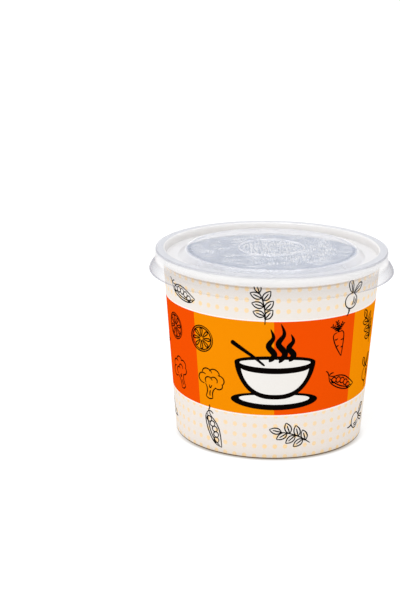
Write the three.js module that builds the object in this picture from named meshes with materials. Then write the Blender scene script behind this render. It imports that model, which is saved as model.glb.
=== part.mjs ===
// Takeaway soup container: a tapered board cup with a rolled rim, a recessed base and a formed lid pressed over the rim.
// Millimetres, +Z up. The origin is the centre of the ring that the cup stands on.
import * as THREE from 'three';

// Cup: outside sizes of the printed board, and the thickness of the board itself.
const CUP_BASE_RADIUS = 47.75;
const CUP_MOUTH_RADIUS = 54.85;
const BOARD = 0.6;
const TOUCHING_GAP = 0.3;

// Rolled rim: an oval roll that starts where the wall ends and stops just short of closing on the wall.
const ROLL_CENTRE_HEIGHT = 92.05;
const ROLL_HALF_WIDTH = 1.55;
const ROLL_HALF_HEIGHT = 2.35;
const ROLL_END_DEGREES = -115;
const ROLL_STEPS = 12;

// Base: a disc with a turned-down edge, which is held in the fold at the foot of the wall.
const BASE_HEIGHT = 7.6;
const BASE_EDGE_BOTTOM = 1.2;
const BASE_CORNER = 0.8;
const FOLD_HEIGHT = 6.0;

// Lid: a formed film whose bead grips the rolled rim, with a channel and a raised centre panel.
const FILM = 0.5;
const LID_HEIGHT = 95.4;
const BEAD_RADIUS = 58.5;
const BEAD_FOOT_RADIUS = 58.9;
const BEAD_FOOT_HEIGHT = 88.4;
const BEAD_SHOULDER = 1.0;
const PLUG_RADIUS = 53.3;
const PLUG_TOP_RADIUS = 53.7;
const CHANNEL_HEIGHT = 91.2;
const CHANNEL_CORNER = 0.6;
const STEP_FOOT_RADIUS = 47.0;
const PANEL_RADIUS = 43.0;
const PANEL_HEIGHT = 94.9;
const PANEL_CORNER = 0.9;
const PANEL_RING_RADIUS = 16.5;
const PANEL_RING_WIDTH = 1.4;
const PANEL_RING_RISE = 0.4;
const SKIRT_RADIUS = 61.7;
const SKIRT_HEIGHT = 84.9;
const SKIRT_BULGE = 0.6;

// Facets: the sides of each turned shape and the steps in a rounded corner.
const SIDES = 64;
const CORNER_STEPS = 3;
const SKIRT_STEPS = 4;

const point = (radius, height) => new THREE.Vector2(radius, height);

// Radius of the outside of the tapered wall at a height.
function wallRadius(height) {
  const taper = (CUP_MOUTH_RADIUS - CUP_BASE_RADIUS) / ROLL_CENTRE_HEIGHT;
  return CUP_BASE_RADIUS + taper * height;
}

// A stretch of an oval round a centre, from one angle in degrees to another.
function oval(centre, halfWidth, halfHeight, from, to, steps) {
  const start = THREE.MathUtils.degToRad(from);
  const end = THREE.MathUtils.degToRad(to);
  const clockwise = end < start;
  const curve = new THREE.EllipseCurve(centre.x, centre.y, halfWidth, halfHeight, start, end, clockwise);
  return curve.getPoints(steps);
}

// A corner cut off by a curve that starts and ends the given distance from it along both sides.
function corner(before, at, after, size) {
  const start = at.clone().add(before.clone().sub(at).setLength(size));
  const end = at.clone().add(after.clone().sub(at).setLength(size));
  return new THREE.QuadraticBezierCurve(start, at, end).getPoints(CORNER_STEPS);
}

// Each point of a line moved to the line's left by a distance, with the corners mitred.
function offset(line, distance) {
  const leftOf = (a, b) => point(a.y - b.y, b.x - a.x).normalize();
  return line.map((at, i) => {
    const before = leftOf(line[Math.max(i - 1, 0)], line[Math.max(i, 1)]);
    const after = leftOf(line[Math.min(i, line.length - 2)], line[Math.min(i + 1, line.length - 1)]);
    const middle = before.clone().add(after).normalize();
    return at.clone().addScaledVector(middle, distance / middle.dot(before));
  });
}

// The closed outline of a sheet that lies along a line, with its thickness to the line's left.
function sheetOutline(line, thickness) {
  const outline = [...line, ...offset(line, thickness).reverse()];
  return [...outline, outline[0].clone()];
}

// Area inside a closed outline, positive when it runs anticlockwise.
function signedArea(outline) {
  return THREE.ShapeUtils.area(outline.slice(0, -1));
}

// A solid turned from an outline round +Z, with its faces pointing out.
function turned(outline) {
  const profile = signedArea(outline) > 0 ? outline : [...outline].reverse();
  return new THREE.LatheGeometry(profile, SIDES).rotateX(Math.PI / 2);
}

// Printed side wall: from the inside of the bottom fold, up the taper and round the rolled rim.
function wallShape() {
  const foldDepth = 3 * BOARD + 2 * TOUCHING_GAP;
  const rollCentre = point(CUP_MOUTH_RADIUS + ROLL_HALF_WIDTH - BOARD, ROLL_CENTRE_HEIGHT);
  const line = [
    point(wallRadius(FOLD_HEIGHT) - foldDepth, FOLD_HEIGHT),
    point(CUP_BASE_RADIUS - foldDepth, 0),
    point(CUP_BASE_RADIUS, 0),
    ...oval(rollCentre, ROLL_HALF_WIDTH - BOARD, ROLL_HALF_HEIGHT - BOARD, 180, ROLL_END_DEGREES, ROLL_STEPS),
  ];
  return turned(sheetOutline(line, BOARD));
}

// Recessed base: a flat disc whose edge turns down between the wall and its fold.
function baseShape() {
  const edgeRadius = (height) => wallRadius(height) - BOARD - TOUCHING_GAP;
  const centre = point(0, BASE_HEIGHT);
  const rim = point(edgeRadius(BASE_HEIGHT), BASE_HEIGHT);
  const foot = point(edgeRadius(BASE_EDGE_BOTTOM), BASE_EDGE_BOTTOM);
  const line = [centre, ...corner(centre, rim, foot, BASE_CORNER), foot];
  return turned(sheetOutline(line, -BOARD));
}

// Raised ring in the middle of the lid's panel.
function panelRing() {
  const half = PANEL_RING_WIDTH / 2;
  const top = PANEL_HEIGHT + PANEL_RING_RISE;
  return [
    point(PANEL_RING_RADIUS - half, PANEL_HEIGHT),
    point(PANEL_RING_RADIUS - half / 2, top),
    point(PANEL_RING_RADIUS + half / 2, top),
    point(PANEL_RING_RADIUS + half, PANEL_HEIGHT),
  ];
}

// Flared skirt below the bead, bulging out a little on its way down to the edge.
function skirt() {
  const top = point(BEAD_FOOT_RADIUS, BEAD_FOOT_HEIGHT);
  const edge = point(SKIRT_RADIUS, SKIRT_HEIGHT);
  const middle = top.clone().lerp(edge, 0.5).add(point(SKIRT_BULGE, SKIRT_BULGE));
  return new THREE.QuadraticBezierCurve(top, middle, edge).getPoints(SKIRT_STEPS);
}

// Lid: panel, sloping step, channel, plug wall, bead over the rim and skirt, as one formed film.
function lidShape() {
  const centre = point(0, PANEL_HEIGHT);
  const panelEdge = point(PANEL_RADIUS, PANEL_HEIGHT);
  const stepFoot = point(STEP_FOOT_RADIUS, CHANNEL_HEIGHT);
  const plugFoot = point(PLUG_RADIUS, CHANNEL_HEIGHT);
  const innerShoulder = point(PLUG_TOP_RADIUS, LID_HEIGHT);
  const outerShoulder = point(BEAD_RADIUS, LID_HEIGHT);
  const beadFoot = point(BEAD_FOOT_RADIUS, BEAD_FOOT_HEIGHT);
  const line = [
    centre,
    ...panelRing(),
    ...corner(centre, panelEdge, stepFoot, PANEL_CORNER),
    ...corner(panelEdge, stepFoot, plugFoot, CHANNEL_CORNER),
    ...corner(stepFoot, plugFoot, innerShoulder, CHANNEL_CORNER),
    ...corner(plugFoot, innerShoulder, outerShoulder, BEAD_SHOULDER),
    ...corner(innerShoulder, outerShoulder, beadFoot, BEAD_SHOULDER),
    ...skirt(),
  ];
  return turned(sheetOutline(line, -FILM));
}

const printedBoard = new THREE.MeshStandardMaterial({ color: 0xf5831f, roughness: 0.55, metalness: 0 });
const plainBoard = new THREE.MeshStandardMaterial({ color: 0xf3ede2, roughness: 0.6, metalness: 0 });
const clearFilm = new THREE.MeshStandardMaterial({
  color: 0xe3e7ef,
  roughness: 0.3,
  metalness: 0,
  transparent: true,
  opacity: 0.5,
});

function piece(name, geometry, material) {
  const mesh = new THREE.Mesh(geometry, material);
  mesh.name = name;
  return mesh;
}

const container = new THREE.Group();
container.add(
  piece('cup_wall', wallShape(), printedBoard),
  piece('cup_base', baseShape(), plainBoard),
  piece('lid', lidShape(), clearFilm),
);

export default container;
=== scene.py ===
"""Looks of a takeaway soup container: printed board cup, recessed base, hazy lid, drawings and a studio."""
import math

import bpy
import numpy as np
from bpy.props import FloatProperty, FloatVectorProperty, PointerProperty
from mathutils import Matrix, Vector


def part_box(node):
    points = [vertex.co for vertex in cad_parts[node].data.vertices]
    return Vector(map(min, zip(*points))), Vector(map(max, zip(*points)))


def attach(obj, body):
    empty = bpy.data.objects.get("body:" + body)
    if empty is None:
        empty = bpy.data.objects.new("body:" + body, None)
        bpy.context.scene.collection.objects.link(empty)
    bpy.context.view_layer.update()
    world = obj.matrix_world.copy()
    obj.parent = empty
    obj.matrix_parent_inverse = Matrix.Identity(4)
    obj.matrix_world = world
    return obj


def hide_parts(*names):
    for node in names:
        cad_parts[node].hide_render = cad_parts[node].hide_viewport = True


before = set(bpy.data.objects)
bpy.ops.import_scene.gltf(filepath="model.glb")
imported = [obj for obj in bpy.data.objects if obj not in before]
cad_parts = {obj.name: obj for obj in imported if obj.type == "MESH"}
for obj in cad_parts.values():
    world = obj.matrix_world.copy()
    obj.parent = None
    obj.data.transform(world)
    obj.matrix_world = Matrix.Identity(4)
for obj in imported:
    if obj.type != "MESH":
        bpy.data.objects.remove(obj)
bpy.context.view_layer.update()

bl_info = {
    "name": "Soup container maker",
    "version": (1, 0, 0),
    "blender": (4, 5, 0),
    "location": "3D View > Sidebar > Soup container",
    "description": "Makes a printed takeaway soup cup with a hazy formed lid, piece by piece",
    "category": "Add Mesh",
}

MM = 0.001
BODY = "root"
FULL_TURN = 2 * math.pi
TINY = 1e-9

# Angles in degrees above which an edge stays sharp: as a rule, and on the lid.
SHARP = 35
LID_SHARP = 60

BASE_LOW, BASE_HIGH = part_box("cup_base")
LID_LOW, LID_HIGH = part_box("lid")

# Fineness of the meshes: sides of each turn, points along corners and curves, and the spacing in millimetres
# of the points along a drawn line.
SIDES = 384
LID_SIDES = 360
SEAM_COLUMNS = 24
WALL_ROWS = 48
ROLL_STEPS = 40
FOLD_STEPS = 4
FOOT_STEPS = 5
BASE_RINGS = 10
PANEL_RINGS = 12
SKIRT_ROWS = 10
BEND_STEPS = 6
SHOULDER_STEPS = 8
CURVE_STEPS = 8
LOOP_STEPS = 33
CAP_STEPS = 4
LINE_SPACING = 0.5

# Corners and seam, in millimetres but for the seam's angle and the share of the board that stands proud.
WALL_FIRST_ROW = 1.0
FOOT_ROUNDING = 0.3
BASE_CORNER = 0.8
PANEL_CORNER = 0.9
CHANNEL_CORNER = 0.6
BEAD_SHOULDER = 1.0
SEAM_FADE = 3.0
SEAM_ANGLE = math.radians(-128)
SEAM_SHARE = 0.75

# Regions of the film: what they are called, the colour of their haze, how much one face of it hides, and how
# much more where it is seen edge on. The colours are painted light and shade on one milky film: bluish grey
# on the panel, near white on the step, in the channel and on the bead's wall, and darker greys on the bead's
# flat top, its outer shoulder and the skirt.
FILM_REGIONS = {
    "panel": ("panel", (0.70, 0.74, 0.82), 0.05, 0.11),
    "step": ("sloping step", (0.94, 0.915, 0.895), 0.12, 1.0),
    "channel": ("channel", (0.89, 0.875, 0.865), 0.45, 1.0),
    "bead": ("bead's wall", (0.85, 0.85, 0.87), 0.08, 0.8),
    "top": ("bead's flat top", (0.64, 0.65, 0.69), 0.52, 0.95),
    "shoulder": ("bead's outer shoulder", (0.34, 0.35, 0.40), 0.12, 1.0),
    "skirt": ("skirt", (0.34, 0.35, 0.41), 0.015, 0.95),
}


def length(name, description, millimetres):
    """A size property whose default is given in millimetres."""
    return FloatProperty(
        name=name,
        description=description,
        default=millimetres * MM,
        unit="LENGTH",
        subtype="DISTANCE",
        precision=5,
    )


def angle(name, description, degrees):
    """An angle property whose default is given in degrees."""
    return FloatProperty(
        name=name, description=description, default=math.radians(degrees), unit="ROTATION", subtype="ANGLE"
    )


def share(name, description, default):
    """A number between nothing and all."""
    return FloatProperty(name=name, description=description, default=default, min=0, max=1, subtype="FACTOR")


def amount(name, description, default):
    """A number from nothing up."""
    return FloatProperty(name=name, description=description, default=default, min=0)


def colour(name, description, default):
    """A colour property, as linear red, green and blue."""
    return FloatVectorProperty(
        name=name, description=description, default=default, size=3, min=0, max=1, subtype="COLOR"
    )


class CupSizes(bpy.types.PropertyGroup):
    """Sizes of the board cup."""

    foot_radius: length("Foot radius", "Outside of the wall where it stands", 47.75)
    mouth_radius: length("Mouth radius", "Outside of the wall where the rolled rim starts", 54.85)
    board: length("Board", "Thickness of the board", 0.6)
    gap: length("Gap", "Air between touching layers of board", 0.3)
    fold_height: length("Fold height", "Height of the wall's inner fold", 6.0)
    roll_height: length("Roll height", "Height of the middle of the rolled rim", 92.05)
    roll_half_width: length("Roll half width", "Half the width of the rolled rim", 1.55)
    roll_half_height: length("Roll half height", "Half the height of the rolled rim", 2.35)
    roll_end: angle("Roll end", "Direction in which the rolled edge stops", -115)
    overlap: length("Overlap", "Width of the glued side seam at the back", 8.0)


class PrintSizes(bpy.types.PropertyGroup):
    """Places of the printed bands, panels and dots."""

    band_top: length("Band top", "Height of the upper edge of the coloured band", 71.9)
    band_bottom: length("Band bottom", "Height of the lower edge of the coloured band", 23.4)
    border: length("Border", "Width of the white line along the coloured band", 0.75)
    period: angle("Period", "Angle after which the two panels repeat", 94.6)
    amber_width: angle("Amber width", "Angle taken by an amber panel", 46.2)
    amber_start: angle("Amber start", "Where the front amber panel starts", -46.2)
    dot_spacing: length("Dot spacing", "Distance between dots along a row", 5.03)
    row_spacing: length("Row spacing", "Distance between rows of dots", 5.42)
    row_height: length("Row height", "Height of one row of dots", 77.1)
    dot_half_width: length("Dot half width", "Half the width of a dot", 1.12)
    dot_half_height: length("Dot half height", "Half the height of a dot", 1.22)
    print_top: length("Print top", "Height where the print stops, under the rolled rim", 89.3)


class PrintColours(bpy.types.PropertyGroup):
    """Inks and board of the print."""

    cream: colour("Cream", "Coated board between the dots", (0.80, 0.75, 0.70))
    white: colour("White", "Border lines of the coloured band", (0.86, 0.82, 0.785))
    fill: colour("Fill", "Fill of the bowl and its saucer", (0.795, 0.77, 0.735))
    dots: colour("Dots", "Pale orange dots", (0.96, 0.62, 0.20))
    amber: colour("Amber", "Amber panels", (0.815, 0.245, 0.001))
    orange: colour("Orange-red", "Orange-red panels", (0.79, 0.071, 0.001))
    ink: colour("Ink", "Dark drawings", (0.0025, 0.0015, 0.0012))
    board: colour("Board", "Bare board underneath", (0.80, 0.80, 0.80))
    # Painted shade: the board inside the cup is a darker, bluish copy of the board, for the lid's shade on
    # it.
    inside: colour("Inside", "Bare board inside the cup", (0.735, 0.76, 0.82))
    rim: colour("Rim", "Bare board of the rolled rim", (0.93, 0.92, 0.90))


class LidSizes(bpy.types.PropertyGroup):
    """Sizes of the formed lid."""

    film: length("Film", "Thickness of the film", 0.5)
    panel_radius: length("Panel radius", "Edge of the raised centre panel", 43.0)
    panel_height: length("Panel height", "Height of the raised centre panel", 94.9)
    ring_radius: length("Ring radius", "Raised ring in the panel", 16.5)
    ring_width: length("Ring width", "Width of the raised ring", 1.4)
    ring_rise: length("Ring rise", "Height of the raised ring", 0.4)
    step_radius: length("Step radius", "Foot of the sloping step", 47.0)
    channel_height: length("Channel height", "Height of the channel's floor", 91.2)
    plug_radius: length("Plug radius", "Inside of the bead at the channel", 53.3)
    plug_top_radius: length("Plug top radius", "Inside of the bead at its top", 53.7)
    bead_radius: length("Bead radius", "Outside of the bead", 58.5)
    bead_foot_radius: length("Bead foot radius", "Outside of the bead at its foot", 58.9)
    bead_foot_height: length("Bead foot height", "Height of the bead's foot", 88.4)
    skirt_bulge: length("Skirt bulge", "How far the skirt bulges out on its way down", 0.6)


class LidFilm(bpy.types.PropertyGroup):
    """Colour and haze of the lid's film. Each region's own settings are added below."""

    clear_tint: colour("Clear tint", "What is seen through one face takes this colour", (0.988, 0.988, 0.99))
    glow_through: share("Glow through", "How much of the haze is lit from its far side", 0.5)
    # Painted shade: the skirt's lower edge, seen edge on, darkens to a bluish grey line.
    lip_tint: colour("Lip tint", "Colour of the haze along the skirt's lower edge", (0.40, 0.41, 0.49))
    lip_haze: share("Lip haze", "How much more one face hides along the skirt's lower edge", 0.6)
    # Painted shade: a thin dark bluish line just inside the panel's edge.
    shade_line_tint: colour("Line tint", "Colour of the thin dark line inside the panel's edge", (0.30, 0.35, 0.47))
    shade_line_haze: share("Line haze", "How much more one face hides on the thin dark line", 0.10)
    # Painted highlight: a white line along the bend at the panel's edge, strongest where the bend faces the
    # view.
    bend_highlight_haze: share("Bend haze", "How much more one face hides along the bend at the panel's edge", 0.16)
    ring_haze: share("Ring haze", "How much more one face hides on the panel's raised ring", 0.30)
    # Painted reflections: faint white streaks across the panel.
    reflection_streak_haze: share("Streak haze", "How much more one face hides in the panel's faint streaks", 0.22)
    # The specks are raised and scatter light, and their white haze is partly a painted highlight on their
    # tops.
    sparkle_speck_haze: share("Speck haze", "How much more one face hides on a speck of the panel's texture", 1.0)
    speck_tint: colour("Speck tint", "Colour of the specks, streaks, ring and bend", (0.97, 0.96, 0.96))


def region_settings(name, place, tint, haze, edge):
    """The three settings of one region of the film."""
    title = name.capitalize()
    return {
        f"{name}_tint": colour(f"{title} tint", f"Colour of the haze of the {place}", tint),
        f"{name}_haze": share(f"{title} haze", f"How much one face of the {place} hides", haze),
        f"{name}_edge": share(f"{title} edge on", f"How much more the {place} hides seen edge on", edge),
    }


for region_name, region_values in FILM_REGIONS.items():
    LidFilm.__annotations__.update(region_settings(region_name, *region_values))


class StudioSettings(bpy.types.PropertyGroup):
    """Camera, lights and floor."""

    camera_right: length("Camera right", "Camera place along X", -33.9)
    camera_distance: length("Camera distance", "Camera place in front of the cup", 733.8)
    camera_height: length("Camera height", "Camera height above the floor", 279.2)
    camera_pitch: angle("Camera pitch", "How far the camera looks down", 16.12)
    camera_yaw: angle("Camera yaw", "How far the camera looks to the right", -0.151)
    camera_roll: angle("Camera roll", "How far the camera leans", 0.374)
    focal_length: FloatProperty(
        name="Focal length", description="Lens in millimetres on a 36 mm sensor", default=90, unit="CAMERA"
    )
    floor: colour("Floor", "Pale floor", (0.25, 0.25, 0.25))
    glow: amount("Glow", "Light that comes up through the floor", 0.72)
    sky: amount("Sky", "Strength of the even light from all round", 0.94)
    key: amount("Key", "Strength of the small light at the front left", 0.14)
    top: amount("Top", "Strength of the soft light above", 2.6)


class Value:
    """A number socket of a node tree, so that shader maths is written as Python expressions."""

    def __init__(self, shader, socket):
        self.shader = shader
        self.socket = socket

    def maths(self, operation, *others):
        return self.shader.node("ShaderNodeMath", {"operation": operation}, [self, *others])

    def __add__(self, other):
        return self.maths("ADD", other)

    def __radd__(self, other):
        return self + other

    def __sub__(self, other):
        return self.maths("SUBTRACT", other)

    def __rsub__(self, other):
        return self * -1 + other

    def __mul__(self, other):
        return self.maths("MULTIPLY", other)

    def __rmul__(self, other):
        return self * other

    def __truediv__(self, other):
        return self.maths("DIVIDE", other)

    def __pow__(self, other):
        return self.maths("POWER", other)

    def __lt__(self, other):
        return self.maths("LESS_THAN", other)

    def __gt__(self, other):
        return self.maths("GREATER_THAN", other)


# Numbers of a Mix node's sockets for colours: the share of the second colour, both colours and the result.
MIX_SHARE, MIX_FIRST, MIX_SECOND, MIX_RESULT = 0, 6, 7, 2


class Shader:
    """A material's node tree with a Principled surface, built one node at a time."""

    def __init__(self, name):
        self.material = bpy.data.materials.new(name)
        self.material.use_nodes = True
        self.tree = self.material.node_tree
        self.surface = self.tree.nodes["Principled BSDF"]

    def node(self, kind, settings=None, inputs=None, output=0):
        """A new node: its settings first, then a value or a link for each named or numbered socket."""
        made = self.tree.nodes.new(kind)
        for name, value in (settings or {}).items():
            setattr(made, name, value)
        pairs = inputs.items() if isinstance(inputs, dict) else enumerate(inputs or [])
        for key, value in pairs:
            self.plug(made.inputs[key], value)
        return Value(self, made.outputs[output])

    def plug(self, socket, value):
        """Links a socket to a Value, or sets its own number or colour."""
        if isinstance(value, Value):
            self.tree.links.new(value.socket, socket)
        elif hasattr(value, "__len__") and len(value) == 3 and socket.type == "RGBA":
            socket.default_value = (*value, 1)
        else:
            socket.default_value = value

    def finish(self, **sockets):
        """Plugs the surface's sockets, named with underscores for spaces, and returns the material."""
        for name, value in sockets.items():
            self.plug(self.surface.inputs[name.replace("_", " ")], value)
        return self.material

    def place(self):
        """Object coordinates in millimetres, as three values. The patterns read the same point."""
        metres = self.node("ShaderNodeTexCoord", output="Object")
        self.point = self.node("ShaderNodeVectorMath", {"operation": "SCALE"}, {0: metres, "Scale": 1 / MM})
        split = self.node("ShaderNodeSeparateXYZ", inputs=[self.point])
        return [Value(self, output) for output in split.socket.node.outputs]

    def mix(self, first, second, factor):
        """A colour between two colours."""
        inputs = {MIX_SHARE: factor, MIX_FIRST: first, MIX_SECOND: second}
        return self.node("ShaderNodeMix", {"data_type": "RGBA"}, inputs, MIX_RESULT)

    def step(self, value, low, high):
        """Rises smoothly from 0 to 1 while the value goes from low to high."""
        return self.node("ShaderNodeMapRange", {"interpolation_type": "SMOOTHSTEP"}, [value, low, high])

    def past(self, value, edge, fade):
        """Rises from 0 to 1 past an edge. The fade says where it starts and ends, counted from the edge."""
        return self.step(value, edge + fade[0], edge + fade[1])

    def near(self, value, middle, fade):
        """1 at a middle value, sinking to 0 while the distance from it goes through the fade."""
        return 1 - self.step((value - middle).maths("ABSOLUTE"), *fade)

    def noise(self, size, detail=2.0, stretch=(1, 1, 1)):
        """Noise with features of a size in millimetres, stretched along the axes."""
        point = self.node("ShaderNodeVectorMath", {"operation": "DIVIDE"}, [self.point, stretch])
        return self.node("ShaderNodeTexNoise", inputs={"Vector": point, "Scale": 1 / size, "Detail": detail})

    def bump(self, height, distance):
        """A bumped normal from a height, with its depth in millimetres."""
        return self.node("ShaderNodeBump", inputs={"Height": height, "Distance": distance * MM})


def darker(tone, share_left):
    """A colour with a share of its light left."""
    return tuple(channel * share_left for channel in tone)


def vary(value, limits):
    """A number that goes from the first limit to the second while a value goes from 0 to 1."""
    low, high = limits
    return value * (high - low) + low


def mesh_from_grid(points, wrap_rows=False):
    """Quads between the neighbours of a grid of points: (row, column), (row, next), (next, next) and
    (next, column). The last column meets the first, and so does the last row if the rows wrap. A row that
    has shrunk to one point becomes a pole with a fan of triangles. Returns the used points and the faces."""
    rows, cols = points.shape[:2]
    index = np.arange(rows * cols).reshape(rows, cols)
    poles = np.ptp(points, axis=1).max(axis=1) < TINY
    index[poles] = index[poles][:, :1]
    if wrap_rows:
        index = np.vstack([index, index[:1]])
    index = np.hstack([index, index[:, :1]])
    quads = np.stack([index[:-1, :-1], index[:-1, 1:], index[1:, 1:], index[1:, :-1]], -1).reshape(-1, 4)
    same = quads == np.roll(quads, -1, axis=1)
    faces = [quads[~same.any(axis=1)]]
    faces += [np.delete(quads[same[:, k]], k, axis=1) for k in range(4)]
    used, compact = np.unique(np.concatenate([f.ravel() for f in faces]), return_inverse=True)
    split = np.cumsum([f.size for f in faces])[:-1]
    faces = [c.reshape(-1, f.shape[1]) for c, f in zip(np.split(compact, split), faces)]
    return points.reshape(-1, 3)[used], faces


def join(parts):
    """Many (points, faces) pairs as one, with each part's face numbers moved past the points before it."""
    points, faces, start = [], [], 0
    for part_points, part_faces in parts:
        points.append(part_points)
        faces += [f + start for f in part_faces if len(f)]
        start += len(part_points)
    return np.concatenate(points), faces


def make_piece(name, points, faces, material, slot, node=None, sharp=SHARP):
    """Makes a finished piece: its mesh at its place, smooth but for edges sharper than an angle in degrees.
    It replaces the CAD node, if one is named."""
    mesh = bpy.data.meshes.new(name)
    mesh.from_pydata(points.tolist(), [], [row for f in faces for row in f.tolist()])
    mesh.polygons.foreach_set("use_smooth", np.ones(len(mesh.polygons), bool))
    mesh.set_sharp_from_angle(angle=math.radians(sharp))
    mesh.materials.append(material)
    piece = bpy.data.objects.new(name, mesh)
    bpy.context.scene.collection.objects.link(piece)
    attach(piece, BODY)
    if node:
        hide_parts(node)


def oval(centre, half_width, half_height, start, end, steps):
    """Points centre + (half width * cos t, half height * sin t), with t in radians from start to end."""
    t = np.linspace(start, end, steps)
    return np.stack([centre[0] + half_width * np.cos(t), centre[1] + half_height * np.sin(t)], -1)


def corner(before, at, after, size, steps):
    """A corner rounded by a curve from a size before it to a size after it."""
    before, at, after = (np.array(p, float) for p in (before, at, after))
    start = at + (before - at) / np.linalg.norm(before - at) * size
    end = at + (after - at) / np.linalg.norm(after - at) * size
    return arc(start, at, end, steps)


def arc(start, middle, end, steps):
    """The curve (1-t)^2 start + 2t(1-t) middle + t^2 end."""
    t = np.linspace(0, 1, steps)[:, None]
    return (1 - t) ** 2 * start + 2 * t * (1 - t) * middle + t**2 * end


def offset(line, distance):
    """Each point of a line moved to the line's left by a distance, with the corners mitred."""
    run = np.diff(line, axis=0)
    left = np.stack([-run[:, 1], run[:, 0]], -1) / np.linalg.norm(run, axis=1)[:, None]
    before = np.vstack([left[:1], left])
    after = np.vstack([left, left[-1:]])
    middle = before + after
    middle /= np.linalg.norm(middle, axis=1)[:, None]
    return line + middle * (distance / (middle * before).sum(1))[:, None]


def sheet_outline(line, thickness):
    """The outline of a sheet that lies along a line, with its thickness to the line's left."""
    return np.vstack([line, offset(line, thickness)[::-1]])


def turned(outline, angles, lift=0.0):
    """Points (r sin a, -r cos a, z) for each (r, z) of an outline and each angle a. A lift raises r."""
    every = np.ones_like(angles)
    radius = outline[:, :1] * every + lift
    return np.stack([radius * np.sin(angles), -radius * np.cos(angles), outline[:, 1:] * every], -1)


def smooth_step(x, low, high):
    """3t^2 - 2t^3, with t going from 0 to 1 while x goes from low to high."""
    t = np.clip((x - low) / (high - low), 0, 1)
    return t * t * (3 - 2 * t)


def taper(sizes):
    """How much the wall's radius grows for each metre of height."""
    return (sizes.mouth_radius - sizes.foot_radius) / sizes.roll_height


def wall_radius(sizes, height):
    """Radius of the outside of the tapered wall at a height."""
    return sizes.foot_radius + taper(sizes) * height


def wall_line(sizes):
    """The printed side of the wall: up inside the fold, round the foot, up the taper and round the rim."""
    depth = 3 * sizes.board + 2 * sizes.gap
    fold_top = (wall_radius(sizes, sizes.fold_height) - depth, sizes.fold_height)
    fold_foot = (sizes.foot_radius - depth, 0.0)
    foot = (sizes.foot_radius, 0.0)
    roll_centre = (sizes.mouth_radius + sizes.roll_half_width - sizes.board, sizes.roll_height)
    roll_width, roll_height = sizes.roll_half_width - sizes.board, sizes.roll_half_height - sizes.board
    roll = oval(roll_centre, roll_width, roll_height, math.pi, sizes.roll_end, ROLL_STEPS)
    wall_heights = np.linspace(WALL_FIRST_ROW * MM, sizes.roll_height - WALL_FIRST_ROW * MM, WALL_ROWS)
    return np.vstack([
        [fold_top],
        corner(fold_top, fold_foot, foot, FOOT_ROUNDING * MM, FOLD_STEPS),
        corner(fold_foot, foot, roll[0], FOOT_ROUNDING * MM, FOOT_STEPS),
        np.stack([wall_radius(sizes, wall_heights), wall_heights], -1),
        roll,
    ])


def seam_lift(sizes, outline, around):
    """How far the wall stands proud at the glued overlap: a share of the board's thickness for the width of
    the overlap, easing back to nothing after it and under the rolled rim. Around is the angle since the
    seam."""
    left = (FULL_TURN - around) * sizes.foot_radius
    across = 1 - smooth_step(left, sizes.overlap, sizes.overlap + SEAM_FADE * MM)
    radius, height = outline[:, :1], outline[:, 1:]
    outside = radius > wall_radius(sizes, height) - sizes.board / 2
    roll_foot = sizes.roll_height - sizes.roll_half_height
    upward = smooth_step(height, 0, MM) * (1 - smooth_step(height, roll_foot - SEAM_FADE * MM, roll_foot))
    return sizes.board * SEAM_SHARE * outside * upward * across


class SOUP_OT_cup_wall(bpy.types.Operator):
    """Makes the printed wall with its rolled rim, bottom fold and glued side seam."""

    bl_idname = "soup.cup_wall"
    bl_label = "Printed wall"

    def execute(self, context):
        sizes = context.scene.soup_cup
        outline = sheet_outline(wall_line(sizes), sizes.board)
        seam_end = (sizes.overlap + SEAM_FADE * MM) / sizes.foot_radius
        around = np.concatenate([
            np.linspace(0, FULL_TURN - seam_end, SIDES, endpoint=False),
            np.linspace(FULL_TURN - seam_end, FULL_TURN, SEAM_COLUMNS),
        ])
        points = turned(outline, around + SEAM_ANGLE, seam_lift(sizes, outline, around))
        shape = mesh_from_grid(points, wrap_rows=True)
        make_piece("printed_wall", *shape, printed_board(context.scene), "printed_board", "cup_wall")
        return {"FINISHED"}


class SOUP_OT_cup_base(bpy.types.Operator):
    """Makes the recessed base, a disc whose edge turns down between the wall and its fold."""

    bl_idname = "soup.cup_base"
    bl_label = "Recessed base"

    def execute(self, context):
        sizes = context.scene.soup_cup
        top, bottom = BASE_HIGH.z, BASE_LOW.z
        inset = sizes.board + sizes.gap
        centre = (0.0, top)
        rim = (wall_radius(sizes, top) - inset, top)
        foot = (wall_radius(sizes, bottom) - inset, bottom)
        rings = np.linspace(0, rim[0] - BASE_CORNER * MM * 2, BASE_RINGS)
        flat = np.stack([rings, np.full(BASE_RINGS, top)], -1)
        line = np.vstack([flat, corner(centre, rim, foot, BASE_CORNER * MM, SHOULDER_STEPS), [foot]])
        angles = np.linspace(0, FULL_TURN, SIDES, endpoint=False)
        shape = mesh_from_grid(turned(sheet_outline(line, -sizes.board), angles)[::-1])
        make_piece("recessed_base", *shape, bare_board(context.scene), "plain_board", "cup_base")
        return {"FINISHED"}


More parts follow.
